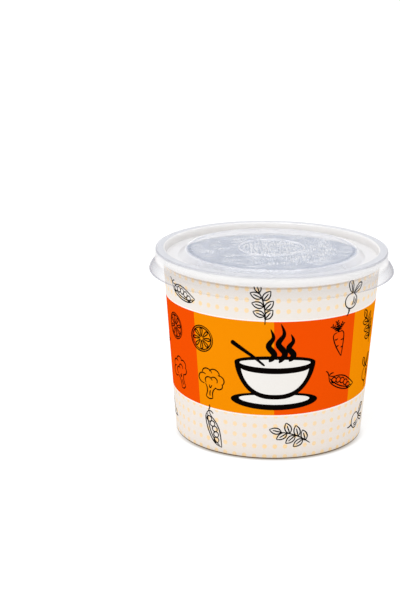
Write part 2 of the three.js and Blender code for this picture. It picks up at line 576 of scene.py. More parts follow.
def lid_line(sizes):
    """The top of the film from the axis out: panel, sloping step, channel, plug wall, bead and skirt."""
    axis = (0.0, sizes.panel_height)
    panel_edge = (sizes.panel_radius, sizes.panel_height)
    step_foot = (sizes.step_radius, sizes.channel_height)
    plug_foot = (sizes.plug_radius, sizes.channel_height)
    inner_shoulder = (sizes.plug_top_radius, LID_HIGH.z)
    outer_shoulder = (sizes.bead_radius, LID_HIGH.z)
    bead_foot = np.array([sizes.bead_foot_radius, sizes.bead_foot_height])
    skirt_edge = np.array([LID_HIGH.x, LID_LOW.z])
    ring_start = sizes.ring_radius - sizes.ring_width / 2
    ring_end = sizes.ring_radius + sizes.ring_width / 2
    panel = np.concatenate([
        np.linspace(0, ring_start, PANEL_RINGS, endpoint=False),
        np.linspace(ring_start, ring_end, PANEL_RINGS, endpoint=False),
        np.linspace(ring_end, sizes.panel_radius - PANEL_CORNER * MM, PANEL_RINGS, endpoint=False),
    ])
    middle = (bead_foot + skirt_edge) / 2 + sizes.skirt_bulge
    return np.vstack([
        np.stack([panel, np.full(len(panel), sizes.panel_height)], -1),
        corner(axis, panel_edge, step_foot, PANEL_CORNER * MM, BEND_STEPS),
        corner(panel_edge, step_foot, plug_foot, CHANNEL_CORNER * MM, BEND_STEPS),
        corner(step_foot, plug_foot, inner_shoulder, CHANNEL_CORNER * MM, BEND_STEPS),
        corner(plug_foot, inner_shoulder, outer_shoulder, BEAD_SHOULDER * MM, SHOULDER_STEPS),
        corner(inner_shoulder, outer_shoulder, bead_foot, BEAD_SHOULDER * MM, SHOULDER_STEPS),
        arc(bead_foot, middle, skirt_edge, SKIRT_ROWS),
    ])


# How the raised ring of the panel rises: the part of its half width that is level, and all of it.
RING_SLOPE = (0.2, 1.0)


class SOUP_OT_lid(bpy.types.Operator):
    """Makes the formed lid with its raised panel and ring."""

    bl_idname = "soup.lid"
    bl_label = "Hazy lid"

    def execute(self, context):
        sizes = context.scene.soup_lid
        angles = np.linspace(0, FULL_TURN, LID_SIDES, endpoint=False)
        outline = sheet_outline(lid_line(sizes), -sizes.film)
        points = turned(outline, angles)
        ring = np.abs(outline[:, :1] - sizes.ring_radius) / (sizes.ring_width / 2)
        points[:, :, 2] += sizes.ring_rise * (1 - smooth_step(ring, *RING_SLOPE))
        shape = mesh_from_grid(points[::-1])
        make_piece("formed_lid", *shape, hazy_film(context.scene), "clear_film", "lid", LID_SHARP)
        return {"FINISHED"}


# Height of the print's layers over the wall, in millimetres, from their undersides in the board to the steam.
PRINT_BOTTOM = -0.03
SAUCER_LEVEL = 0.04
PEN_LEVEL = 0.05
SAUCER_FACE_LEVEL = 0.055
BOWL_LEVEL = 0.07
BOWL_FACE_LEVEL = 0.085
STEAM_LEVEL = 0.105

# Lines and fills: the widths in millimetres of a pen line, a curl of steam and the spoon, and the points
# across a wide stroke, across a fill and along the rim of the bowl.
SKETCH_WIDTH = 0.54
STEAM_WIDTH = 3.0
SPOON_WIDTH = 2.3
STROKE_COLUMNS = 5
FILL_COLUMNS = 11
BOWL_ROWS = 49

# Feathery leaves: where the side lines start and end along their stalk, and their angle to it in degrees.
FEATHER_STRETCH = (0.3, 0.95)
FEATHER_TURN = 48


def straight(start, end):
    """A straight line between two points."""
    return np.array([start, end], float)


def through(*knots):
    """A smooth curve through knots: between b and c, with a before and d after them, it is
    (2b + (c-a)t + (2a-5b+4c-d)t^2 + (3b-a-3c+d)t^3) / 2."""
    k = np.array(knots, float)
    k = np.vstack([2 * k[0] - k[1], k, 2 * k[-1] - k[-2]])
    a, b, c, d = (k[i : len(k) - 3 + i, None] for i in range(4))
    t = np.linspace(0, 1, CURVE_STEPS, endpoint=False)[:, None]
    cubic = 2 * b + (c - a) * t + (2 * a - 5 * b + 4 * c - d) * t**2 + (3 * b - a - 3 * c + d) * t**3
    return np.vstack([cubic.reshape(-1, 2) / 2, k[-2:-1]])


def loop(centre, half_width, half_height, start, end):
    """A stretch of an oval between two angles in degrees."""
    return oval(centre, half_width, half_height, math.radians(start), math.radians(end), LOOP_STEPS)


def rotated(line, degrees):
    """A line turned about the origin."""
    c, s = math.cos(math.radians(degrees)), math.sin(math.radians(degrees))
    return line @ np.array([[c, s], [-s, c]])


def strip(first, second, across, level):
    """A thin closed strip from a line at its left to one at its right, which meet at both ends.
    Each point is (x, y, lift): the top lies at the level and the underside at the bottom of the print."""
    t = np.linspace(0, 1, across)[:, None]
    top = first[:, None] * (1 - t) + second[:, None] * t
    ring = np.concatenate([top, top[:, ::-1]], axis=1)
    lift = np.broadcast_to(np.repeat([level, PRINT_BOTTOM], across)[:, None], (*ring.shape[:2], 1))
    points = np.concatenate([ring, lift], axis=2)
    points[[0, -1]] = points[[0, -1]].mean(axis=1, keepdims=True)
    return points


def stroke(line, width, level, shape, across=2):
    """A strip along a line with rounded ends. Its half width is half the width times the shape of the
    distance travelled, from 0 to 1. It is also times sqrt(1 - (1 - d)^2) within half a width of an end,
    where d is the distance to that end as a share of half the width."""
    half = width / 2
    travelled = np.concatenate([[0], np.cumsum(np.linalg.norm(np.diff(line, axis=0), axis=1))])
    total = travelled[-1]
    cap = half * (1 - np.cos(np.linspace(0, math.pi / 2, CAP_STEPS)))
    middle = np.linspace(half, total - half, max(3, round(total / LINE_SPACING)))[1:-1]
    at = np.concatenate([cap, middle, total - cap[::-1]])
    spine = np.stack([np.interp(at, travelled, line[:, i]) for i in range(2)], -1)
    run = np.gradient(spine, at, axis=0)
    left = np.stack([-run[:, 1], run[:, 0]], -1) / np.linalg.norm(run, axis=1)[:, None]
    end = np.clip(np.minimum(at, total - at) / half, 0, 1)
    reach = left * (half * np.sqrt(1 - (1 - end) ** 2) * shape(at / total))[:, None]
    return strip(spine + reach, spine - reach, across, level)


def disc(centre, half_width, half_height, level):
    """A filled oval."""
    upper = loop(centre, half_width, half_height, 180, 0)
    lower = loop(centre, half_width, half_height, 180, 360)
    return strip(upper, lower, FILL_COLUMNS, level)


def sketched(u):
    """The width of a pen line, (1 + sqrt(sin(pi u))) / 2, which thins towards its ends."""
    return 0.5 + 0.5 * np.sin(math.pi * u) ** 0.5


def pen(*lines):
    """Pen lines of one drawing."""
    return [stroke(line, SKETCH_WIDTH, PEN_LEVEL, sketched) for line in lines]


def feather(line, count, size):
    """A line with pairs of short side lines that point to its end."""
    at = np.linspace(*FEATHER_STRETCH, count)
    steps = np.arange(len(line)) / (len(line) - 1)
    place = np.stack([np.interp(at, steps, line[:, i]) for i in range(2)], -1)
    way = line[-1] - line[0]
    way = way / np.linalg.norm(way) * size
    sides = [rotated(way, side * FEATHER_TURN) for side in (-1, 1)]
    return [line] + [straight(p, p + side) for p in place for side in sides]


def carrot():
    """A tapering root with cross marks and three feathery leaves."""
    body = [
        through((-0.5, 3.3), (-2.3, 3.0), (-2.8, 1.2), (-1.9, -3.0), (0.2, -8.0)),
        through((0.3, 3.2), (2.1, 3.1), (2.9, 1.4), (2.0, -2.8), (0.3, -8.2)),
        through((-2.3, 0.6), (-1.4, 0.2), (-0.5, 0.5)),
        through((2.5, -0.4), (1.7, -0.8), (0.9, -0.6)),
        through((-1.8, -2.6), (-1.1, -2.9), (-0.5, -2.7)),
        through((1.4, -3.8), (0.9, -4.1), (0.5, -3.9)),
    ]
    leaves = [
        through((0.0, 3.2), (-0.7, 5.0), (-2.6, 6.9)),
        through((0.0, 3.2), (0.3, 5.6), (0.0, 8.0)),
        through((0.1, 3.2), (1.2, 4.9), (3.0, 6.3)),
    ]
    return pen(*body, *(line for leaf in leaves for line in feather(leaf, 4, 1.3)))


def pea_pod():
    """An open pod with five peas."""
    peas = [loop((x, 0.55 - 0.045 * x * x), 1.25, 1.25, 20, 400) for x in (-4.9, -2.5, 0.0, 2.5, 4.9)]
    return pen(
        through((-8.6, 0.6), (-6.4, -1.9), (-2.2, -2.9), (2.4, -2.8), (6.2, -1.7), (8.6, 0.9)),
        through((-8.6, 0.6), (-6.0, 0.9), (-3.0, 2.2), (0.6, 2.7), (4.6, 2.0), (8.6, 0.9)),
        through((-7.4, -0.4), (-4.4, -1.4), (0.0, -1.9), (4.4, -1.4), (7.6, 0.2)),
        through((-8.6, 0.6), (-9.8, 1.8), (-11.0, 2.0)),
        through((-8.6, 0.6), (-7.8, 1.9), (-6.6, 2.5)),
        *peas,
    )


def chilli():
    """A bent pepper with its cap and stalk."""
    return pen(
        through((-5.6, 3.2), (-4.8, 0.6), (-2.2, -2.2), (2.4, -3.6), (8.2, -2.6)),
        through((-2.6, 4.6), (-1.4, 2.0), (0.6, 0.2), (4.0, -1.2), (8.2, -2.6)),
        through((-5.8, 3.2), (-4.9, 4.4), (-4.0, 3.7), (-3.4, 4.9), (-2.5, 4.7)),
        through((-5.8, 3.2), (-5.5, 5.3), (-4.2, 5.9), (-2.5, 4.7)),
        through((-4.8, 5.6), (-5.8, 7.2), (-5.6, 8.4)),
        through((-3.6, 1.6), (-2.2, -0.4), (0.2, -1.8)),
        through((1.2, -2.2), (2.6, -2.5), (4.0, -2.4)),
    )


def radish():
    """A round root with its tail, two broad leaves and two shading lines."""
    return pen(
        loop((0, -1.0), 3.6, 3.3, 82, -265),
        through((-0.5, -4.2), (0.1, -5.8), (-0.4, -7.8)),
        through((0.5, -4.2), (0.3, -5.8), (-0.4, -7.8)),
        through((-0.4, 2.2), (-2.4, 3.6), (-4.0, 6.0), (-3.0, 7.8), (-1.2, 6.2), (-0.5, 4.0), (-0.1, 2.3)),
        through((0.2, 2.2), (1.0, 4.4), (2.6, 7.0), (4.4, 7.0), (4.2, 4.8), (2.4, 3.2), (0.5, 2.1)),
        through((-0.4, 2.4), (-1.4, 4.4), (-2.8, 6.8)),
        through((0.4, 2.4), (1.8, 4.2), (3.6, 6.2)),
        through((1.1, 1.0), (1.5, -0.8), (1.0, -2.9)),
        through((2.3, 0.2), (2.6, -1.1), (2.0, -2.5)),
    )


def citrus():
    """A round slice with eight segments."""
    segment = through((0.9, 0.2), (4.0, 1.2), (3.6, 2.3), (0.9, 0.5), (0.9, 0.2))
    segments = [rotated(segment, 45 * i) for i in range(8)]
    return pen(loop((0, 0), 5.9, 5.7, 10, 375), loop((0, 0), 5.1, 4.9, 200, 560), *segments)


def broccoli():
    """A crown of round florets on a forked stalk."""
    crown = [
        loop((-4.0, 1.2), 2.5, 2.3, 60, 290),
        loop((-2.2, 3.9), 2.6, 2.3, 20, 195),
        loop((1.4, 4.6), 2.6, 2.3, -5, 165),
        loop((4.1, 2.6), 2.4, 2.2, -50, 110),
        loop((3.8, 0.2), 2.2, 1.8, -130, 40),
        loop((-1.0, 0.9), 1.9, 1.7, 20, 230),
        loop((1.6, 1.8), 1.7, 1.5, -30, 170),
    ]
    return pen(
        *crown,
        through((-2.6, -0.8), (-1.5, -2.6), (-1.3, -4.6), (-1.8, -6.6)),
        through((2.9, -1.2), (1.8, -2.8), (1.5, -4.6), (1.9, -6.6)),
        through((-1.8, -6.6), (0.0, -7.2), (1.9, -6.6)),
        through((-0.6, -0.8), (0.0, -2.2), (0.9, -0.6)),
        through((0.3, -3.2), (0.1, -4.4), (0.3, -5.8)),
    )


def sprig():
    """A bent stem with pairs of pointed leaves."""
    stem = through((-1.4, -8.0), (-0.2, -3.4), (0.2, 1.6), (-0.3, 6.0))
    half = through((0, 0), (1.6, 1.25), (3.6, 1.15), (5.4, 0))
    leaf = [half, half * (1, -1), straight((0, 0), (3.9, 0))]
    places = [
        (-0.9, -5.6, 38), (-0.5, -4.2, 146), (0.0, -1.6, 34), (0.1, -0.2, 150),
        (0.2, 2.4, 40), (0.1, 3.6, 142), (-0.3, 6.0, 96),
    ]
    return pen(stem, *(rotated(line, turn) + (x, y) for x, y, turn in places for line in leaf))


DRAWINGS = (carrot, citrus, radish, pea_pod, broccoli, chilli, sprig)


def on_wall(sizes, points, turn, height):
    """Points (x, y, lift) in millimetres wrapped round the wall: the angle is turn + x / radius at the
    drawing's own height, the height is raised by y, and the radius is the wall's there plus the lift."""
    x, y, lift = np.moveaxis(points * MM, -1, 0)
    z = height + y
    radius = wall_radius(sizes, z) + lift
    around = turn + x / wall_radius(sizes, height)
    return np.stack([radius * np.sin(around), -radius * np.cos(around), z], -1)


def drawn(sizes, strips, turn, height, tilt=0, scale=1):
    """The meshes of a drawing's strips, tilted and scaled, at a direction and a height. Both angles are in
    degrees, and the height is in millimetres."""
    placed = [np.concatenate([rotated(s[..., :2] * scale, tilt), s[..., 2:]], axis=-1) for s in strips]
    return [mesh_from_grid(on_wall(sizes, s, math.radians(turn), height * MM)) for s in placed]


# The print's layout, and where the painted shadow under the rolled rim, the painted contact shadow at the
# foot and the painted shade low on the wall lie. Lengths are in millimetres, and a fade says where it starts
# and ends, counted from the edge that it softens.
BAND_SKEW = 0.6
BAND_SAG = 0.75
BAND_MIDDLE = 48.0
PANEL_LEAN = 0.025
DOT_PHASE = 0.25
DOT_EDGE = (0.86, 1.12)
RIM_SHADOW_HEIGHT = 88.5
RIM_SHADOW_FADES = ((-0.6, 0.0), (0.3, 0.6))
FOOT_SHADOW_HEIGHT = 0.6
FOOT_SHADOW_FADE = (-0.2, 0.1)
INSIDE_FADE = (-0.6, 0.0)
RIM_FADE = (-1.5, -0.5)
PAINTED_LOW_SHADE_HEIGHT = 75.0

# The board and its inks: tones, among them painted shadows under the rim and at the foot and painted shade
# low on the wall, the share of light that mottling leaves, and the sizes of grain and clouds.
RIM_SHADOW_TONE = (0.36, 0.22, 0.12)
RIM_SHADOW_SHARE = 0.45
FOOT_SHADOW_TONE = (0.17, 0.105, 0.055)
PAINTED_LOW_SHADE = (0.35, 0.12, 0.0)
PAINTED_LOW_SHADE_SHARE = 0.06
DOT_SHARE = (0.39, 0.74)
PAPER_MOTTLE = 0.955
PANEL_MOTTLE = 0.8
PANEL_SPECKLES = (0.5, 0.9)
PANEL_SPECKLE_SHARE = 0.12
INSIDE_MOTTLE = 0.9
INSIDE_MOTTLE_SHARE = 0.5
INK_MOTTLE = 0.94
FIBRE_MOTTLE = 0.93
CLOUD_MOTTLE = 0.97
SPECKLE_SIZE = 0.5
PAPER_CLOUD_SIZE = 14.0
BOARD_CLOUD_SIZE = 11.0
INK_GRAIN_SIZE = 0.6
COATED_GRAIN_SIZE = 0.35
COATED_GRAIN_DEPTH = 0.012
INK_GRAIN_DEPTH = 0.010
FIBRE_SIZE = 0.9
FIBRE_DETAIL = 5.0
FIBRE_STRETCH = (1, 3, 1)
FIBRE_DEPTH = 0.03
FINE_DETAIL = 3.0
GRAIN_DETAIL = 4.0
PRINT_ROUGHNESS = (0.36, 0.46)
BARE_ROUGHER = 0.12
INK_ROUGHNESS = (0.34, 0.46)
BOARD_ROUGHNESS = (0.55, 0.70)


def coated_grain(shader, depth):
    """Fine fibre relief of coated board, as a bumped normal."""
    return shader.bump(shader.noise(COATED_GRAIN_SIZE, GRAIN_DETAIL), depth)


def dot_pattern(shader, cup, sizes, turn, z):
    """1 inside the dots: ovals in level rows, evenly spaced along the arc of each row."""
    row_gap, first_row = sizes.row_spacing / MM, sizes.row_height / MM
    row = ((z - first_row) / row_gap).maths("ROUND") * row_gap + first_row
    along = turn * (cup.foot_radius / MM + taper(cup) * row) / (sizes.dot_spacing / MM) - DOT_PHASE
    across = (along - along.maths("ROUND")) * (sizes.dot_spacing / sizes.dot_half_width)
    upward = (z - row) / (sizes.dot_half_height / MM)
    return 1 - shader.step((across * across + upward * upward) ** 0.5, *DOT_EDGE)


def amber_pattern(sizes, turn, z):
    """1 on the amber panels, which take the same share of every period, counted from the seam."""
    period = math.degrees(sizes.period)
    past_seam = turn < SEAM_ANGLE
    degrees = (turn + past_seam * FULL_TURN - sizes.amber_start) * math.degrees(1)
    degrees = degrees + (z - BAND_MIDDLE) * PANEL_LEAN + period
    return degrees.maths("MODULO", period) < math.degrees(sizes.amber_width)


def printed_board(scene):
    """Coated board: dotted cream bands, a band of amber and orange-red panels with white borders, and bare
    board inside. Painted shadows lie under the rolled rim and at the foot, and painted shade low on the wall
    and on the board inside the cup."""
    cup, sizes, inks = scene.soup_cup, scene.soup_print, scene.soup_inks
    shader = Shader("printed_board")
    x, y, z = shader.place()
    turn = x.maths("ARCTAN2", y * -1)
    print_top = sizes.print_top / MM
    wall = cup.foot_radius / MM + taper(cup) * z
    outside = ((x * x + y * y) ** 0.5 > wall - cup.board / MM / 2) * (z < print_top)

    skew = turn.maths("SINE") * BAND_SKEW
    sag = (1 - (turn * 2).maths("COSINE")) * BAND_SAG
    bottom, top = skew + sag + sizes.band_bottom / MM, sizes.band_top / MM
    band = (z > bottom) * (z < top)
    border = (z > bottom - sizes.border / MM) * (z < top + sizes.border / MM)

    speckle = shader.noise(SPECKLE_SIZE, FINE_DETAIL)
    dots = dot_pattern(shader, cup, sizes, turn, z) * vary(shader.noise(PAPER_CLOUD_SIZE), DOT_SHARE)
    paper = shader.mix(inks.cream, darker(inks.cream, PAPER_MOTTLE), speckle)
    paper = shader.mix(paper, inks.dots, dots)
    paper = shader.mix(paper, inks.white, border)
    panel = shader.mix(inks.orange, inks.amber, amber_pattern(sizes, turn, z))
    speckles = shader.step(speckle, *PANEL_SPECKLES) * PANEL_SPECKLE_SHARE
    panel = shader.mix(panel, darker(inks.orange, PANEL_MOTTLE), speckles)
    printed = shader.mix(paper, panel, band)
    # Painted shade: the print turns slightly darker and warmer from 75 mm down to the foot.
    low = 1 - shader.step(z, 0.0, PAINTED_LOW_SHADE_HEIGHT)
    printed = shader.mix(printed, PAINTED_LOW_SHADE, low * PAINTED_LOW_SHADE_SHARE)
    # Painted shadow: a brownish dark line on the wall just under the rolled rim, where the rim's shade falls.
    above, below = (shader.past(z, RIM_SHADOW_HEIGHT, fade) for fade in RIM_SHADOW_FADES)
    printed = shader.mix(printed, RIM_SHADOW_TONE, above * (1 - below) * RIM_SHADOW_SHARE)
    # Painted contact shadow: the lowest part of the wall turns dark brown where the cup meets the floor.
    printed = shader.mix(FOOT_SHADOW_TONE, printed, shader.past(z, FOOT_SHADOW_HEIGHT, FOOT_SHADOW_FADE))
    # Painted shade: above the base, the board inside the cup takes the darker bluish inside colour.
    bare = shader.mix(inks.board, inks.inside, shader.past(z, BASE_HIGH.z / MM, INSIDE_FADE))
    bare = shader.mix(bare, darker(inks.inside, INSIDE_MOTTLE), speckle * INSIDE_MOTTLE_SHARE)
    bare = shader.mix(bare, inks.rim, shader.past(z, print_top, RIM_FADE))
    return shader.finish(
        Base_Color=shader.mix(bare, printed, outside),
        Roughness=vary(speckle, PRINT_ROUGHNESS) + (1 - outside) * BARE_ROUGHER,
        Specular_IOR_Level=0.0,
        Normal=coated_grain(shader, COATED_GRAIN_DEPTH),
    )


def bare_board(scene):
    """Uncoated off-white board with visible fibres."""
    inks = scene.soup_inks
    shader = Shader("bare_board")
    shader.place()
    fibres = shader.noise(FIBRE_SIZE, FIBRE_DETAIL, FIBRE_STRETCH)
    tone = shader.mix(darker(inks.board, FIBRE_MOTTLE), inks.board, fibres)
    tone = shader.mix(tone, darker(inks.board, CLOUD_MOTTLE), shader.noise(BOARD_CLOUD_SIZE))
    roughness = vary(fibres, BOARD_ROUGHNESS)
    return shader.finish(Base_Color=tone, Roughness=roughness, Normal=shader.bump(fibres, FIBRE_DEPTH))


def print_ink(scene, name, tone):
    """A flat printed ink with faint mottling from the board."""
    shader = Shader(name)
    shader.place()
    mottle = shader.noise(INK_GRAIN_SIZE, FINE_DETAIL)
    return shader.finish(
        Base_Color=shader.mix(tone, darker(tone, INK_MOTTLE), mottle),
        Roughness=vary(mottle, INK_ROUGHNESS),
        Specular_IOR_Level=0.0,
        Normal=coated_grain(shader, INK_GRAIN_DEPTH),
    )


# Where each region of the film starts, in millimetres from its edge, and how its thin lines and marks fade.
STEP_FADE = (-0.3, 0.6)
CHANNEL_FADE = (-0.8, 0.2)
BEAD_FADE = (0.5, 1.1)
TOP_FADE = (-1.4, -0.6)
SHOULDER_FADE = (-0.7, -0.2)
SKIRT_FADE = (-0.4, 2.4)
LIP_FADE = (0.35, 0.6)
BEND_OUT = 0.2
BEND_FADE = (0.4, 0.8)
SHADE_LINE_IN = 1.6
SHADE_LINE_FADE = (0.5, 0.9)
RING_FADE = (0.25, 0.65)

# The panel's raised specks: their spacing, their size as a share of it, and where they lie thick.
SPECK_SPACING = (1.25, 2.6, 1.0)
SPECK_EDGE = (0.24, 0.32)
SPECK_CLOUD_SIZE = 6.0
INNER_CLOUDS = (0.25, 0.50)
OUTER_CLOUDS = (0.35, 0.55)
INNER_FADE = (-2.0, -1.0)
OUTER_FADE = (1.0, 2.0)
SPECK_REACH = (31.0, 35.0)
FRONT_LEAN = 0.6
FRONT_RIGHT = (2.0, 26.0)
OUTER_SHARE = (0.1, 1.0)

# The film's finish: sizes of its clouds, scuffs, painted reflection streaks and ripples, and how it shines.
FILM_CLOUD_SIZE = 9.0
CLOUD_HAZE = (0.9, 1.1)
SCUFF_SIZE = 1.1
SCUFF_STRETCH = (3, 1, 1)
STREAK_SIZE = 1.4
STREAK_STRETCH = (5, 2, 1)
REFLECTION_STREAKS = (0.44, 0.64)
RIPPLE_SIZE = 2.4
RIPPLE_RISE = 0.03
SPECK_RISE = 0.35
FILM_ROUGHNESS = (0.10, 0.18)
COAT_ROUGHNESS = 0.12
EDGE_POWER = 2.0
SKIRT_POWER = 1.0


def speck_pattern(shader, sizes, radius, x, y):
    """Fine raised specks inside the panel's ring, and fewer outside it, most of them at the front right."""
    ring = sizes.ring_radius / MM
    cells = shader.node("ShaderNodeVectorMath", {"operation": "DIVIDE"}, [shader.point, SPECK_SPACING])
    cell_sockets = {"Vector": cells, "Scale": 1.0}
    distance = shader.node("ShaderNodeTexVoronoi", {"voronoi_dimensions": "2D"}, cell_sockets, "Distance")
    cloud = shader.noise(SPECK_CLOUD_SIZE)
    inside = 1 - shader.past(radius, ring, INNER_FADE)
    outside = shader.past(radius, ring, OUTER_FADE) * (1 - shader.step(radius, *SPECK_REACH))
    outside = outside * vary(shader.step(x - y * FRONT_LEAN, *FRONT_RIGHT), OUTER_SHARE)
    dense = inside * shader.step(cloud, *INNER_CLOUDS) + outside * shader.step(cloud, *OUTER_CLOUDS)
    return (1 - shader.step(distance, *SPECK_EDGE)) * dense


def film_masks(shader, sizes, radius, z):
    """1 in each region of the film but the panel, from the middle out."""
    on_bead = shader.past(radius, sizes.plug_top_radius / MM, BEAD_FADE)
    on_top = shader.past(z, LID_HIGH.z / MM, TOP_FADE) * on_bead
    return {
        "step": shader.past(radius, sizes.panel_radius / MM, STEP_FADE),
        "channel": shader.past(radius, sizes.step_radius / MM, CHANNEL_FADE),
        "bead": on_bead,
        "top": on_top,
        "shoulder": shader.past(radius, sizes.bead_radius / MM, SHOULDER_FADE) * on_top,
        "skirt": (1 - shader.past(z, sizes.bead_foot_height / MM, SKIRT_FADE)) * on_bead,
    }


def by_region(film, setting, masks):
    """A setting of the film: the panel's, changing to each other region's own where its mask is 1."""
    total = getattr(film, f"panel_{setting}")
    for name, mask in masks.items():
        total = (getattr(film, f"{name}_{setting}") - total) * mask + total
    return total


def hazy_film(scene):
    """Thin formed film: bluish and clear on the panel, milky in the channel and on the bead's flat top, and
    clear elsewhere but where it is seen edge on. Haze hides by its share, and the rest is seen through."""
    film, sizes = scene.soup_film, scene.soup_lid
    shader = Shader("hazy_film")
    x, y, z = shader.place()
    radius = (x * x + y * y) ** 0.5
    panel_edge = sizes.panel_radius / MM
    masks = film_masks(shader, sizes, radius, z)
    # Painted shade: a dark bluish line along the skirt's lower edge.
    lip = (1 - shader.past(z, LID_LOW.z / MM, LIP_FADE)) * masks["skirt"]
    # Painted highlight: the bend at the panel's edge, made white where it faces the view.
    bend = shader.near(radius, panel_edge + BEND_OUT, BEND_FADE)
    # Painted shade: a thin dark line just inside the panel's edge.
    line = shader.near(radius, panel_edge - SHADE_LINE_IN, SHADE_LINE_FADE)
    ring = shader.near(radius, sizes.ring_radius / MM, RING_FADE)
    # Raised specks, whose white haze is partly a painted highlight on their tops.
    specks = speck_pattern(shader, sizes, radius, x, y)
    # Painted reflections: faint white streaks on the panel, stretched along X.
    streaks = shader.step(shader.noise(STREAK_SIZE, GRAIN_DETAIL, STREAK_STRETCH), *REFLECTION_STREAKS)
    cloud = vary(shader.noise(FILM_CLOUD_SIZE, FINE_DETAIL), CLOUD_HAZE)

    facing = shader.node("ShaderNodeLayerWeight", output="Facing")
    haze = by_region(film, "haze", masks) * cloud + lip * facing * film.lip_haze
    haze = haze + bend * (1 - facing) * film.bend_highlight_haze + ring * film.ring_haze + specks * film.sparkle_speck_haze
    haze = haze + line * film.shade_line_haze + streaks * film.reflection_streak_haze * (1 - masks["step"])
    power = masks["skirt"] * SKIRT_POWER + EDGE_POWER
    haze = haze + (1 - haze) * facing**power * by_region(film, "edge", masks)

    # White marks on the tint: the raised ring, the specks with their painted highlights and the painted
    # reflection streaks.
    marks = specks.maths("MAXIMUM", ring).maths("MAXIMUM", streaks)
    tint = shader.mix(film.panel_tint, film.speck_tint, marks)
    # Painted light and shade: each region of the film takes its own lighter or darker tint.
    for name, mask in masks.items():
        tint = shader.mix(tint, getattr(film, f"{name}_tint"), mask)
    # Painted marks on the tint: a dark shade line inside the panel's edge, a white highlight along its bend
    # and a dark shade along the skirt's lip.
    for mark_tint, mark in ((film.shade_line_tint, line), (film.speck_tint, bend), (film.lip_tint, lip)):
        tint = shader.mix(tint, mark_tint, mark)

    ripple = shader.bump(specks * SPECK_RISE + shader.noise(RIPPLE_SIZE) * RIPPLE_RISE, 1.0)
    scuffs = shader.noise(SCUFF_SIZE, GRAIN_DETAIL, SCUFF_STRETCH)
    material = shader.finish(
        Base_Color=tint,
        Roughness=vary(scuffs, FILM_ROUGHNESS),
        Specular_IOR_Level=1.0,
        Coat_Weight=1 - masks["skirt"],
        Coat_Roughness=COAT_ROUGHNESS,
        Normal=ripple,
    )
    solid = Value(shader, shader.surface.outputs["BSDF"])
    lit_through = shader.node("ShaderNodeBsdfTranslucent", inputs={"Color": tint, "Normal": ripple})
    clear = shader.node("ShaderNodeBsdfTransparent", inputs={"Color": film.clear_tint})
    body = shader.node("ShaderNodeMixShader", inputs=[film.glow_through, solid, lit_through])
    whole = shader.node("ShaderNodeMixShader", inputs=[haze, clear, body])
    shader.plug(shader.tree.nodes["Material Output"].inputs["Surface"], whole)
    return material


# The bowl picture: its directions in degrees and its height in millimetres.
BOWL_TURNS = (0.6, 189.8)
BOWL_HEIGHT = 46.0


def bowl_body(centre, half_width, rise, depth, level):
    """A bowl filled in, from an oval rim that rises or falls by a height to its underside, whose height is
    centre - depth * (1 - |x / half width|^2.6)^0.62."""
    x = -half_width * np.cos(np.linspace(0, math.pi, BOWL_ROWS))
    rim = centre + rise * np.sqrt(1 - (x / half_width) ** 2)
    under = centre - depth * (1 - np.abs(x / half_width) ** 2.6) ** 0.62
    return strip(np.stack([x, rim], -1), np.stack([x, under], -1), FILL_COLUMNS, level)


def wisp(u):
    """The width of a curl of steam, 0.08 + 0.92 sin(pi u^0.62)^0.8, thick low down and fading to a thread."""
    return np.sin(math.pi * u**0.62) ** 0.8 * 0.92 + 0.08


def handle(u):
    """The width of the spoon's handle, 0.45 + 0.55 u, which grows towards its end."""
    return 0.45 + 0.55 * u


def bowl_ink():
    """Black shapes of the bowl picture: saucer, bowl, spoon and three curls of steam."""
    spoon = through((-5.0, 3.2), (-11.0, 8.0), (-21.5, 14.8))
    steam = [
        through((-3.2, 5.2), (-0.6, 9.0), (-3.4, 13.4), (-1.2, 17.8), (-2.6, 22.4)),
        through((1.6, 4.8), (4.4, 9.6), (1.2, 14.6), (3.8, 19.6), (2.2, 25.0)),
        through((6.4, 5.4), (8.6, 8.8), (6.2, 12.4), (8.2, 16.0), (7.0, 19.6)),
    ]
    return [
        disc((0, -15.2), 22.2, 4.7, SAUCER_LEVEL),
        bowl_body(4.4, 19.9, 3.9, 18.6, BOWL_LEVEL),
        stroke(spoon, SPOON_WIDTH, STEAM_LEVEL, handle, STROKE_COLUMNS),
        *(stroke(line, STEAM_WIDTH, STEAM_LEVEL, wisp, STROKE_COLUMNS) for line in steam),
    ]


def bowl_fill():
    """Pale shapes of the bowl picture: the saucer's face, the soup and the side of the bowl."""
    return [
        disc((0, -14.4), 17.8, 2.6, SAUCER_FACE_LEVEL),
        disc((0, 4.3), 17.3, 2.2, BOWL_FACE_LEVEL),
        bowl_body(1.4, 16.6, -2.3, 13.2, BOWL_FACE_LEVEL),
    ]


class SOUP_OT_bowl_picture(bpy.types.Operator):
    """Prints a steaming bowl on the front and the back of the wall."""

    bl_idname = "soup.bowl_picture"
    bl_label = "Bowl picture"

    def execute(self, context):
        scene = context.scene
        inks = scene.soup_inks
        for name, shapes, tone in (("bowl_ink", bowl_ink(), inks.ink), ("bowl_fill", bowl_fill(), inks.fill)):
            parts = [part for turn in BOWL_TURNS for part in drawn(scene.soup_cup, shapes, turn, BOWL_HEIGHT)]
            make_piece(name, *join(parts), print_ink(scene, name, tone), "printed_board")
        return {"FINISHED"}


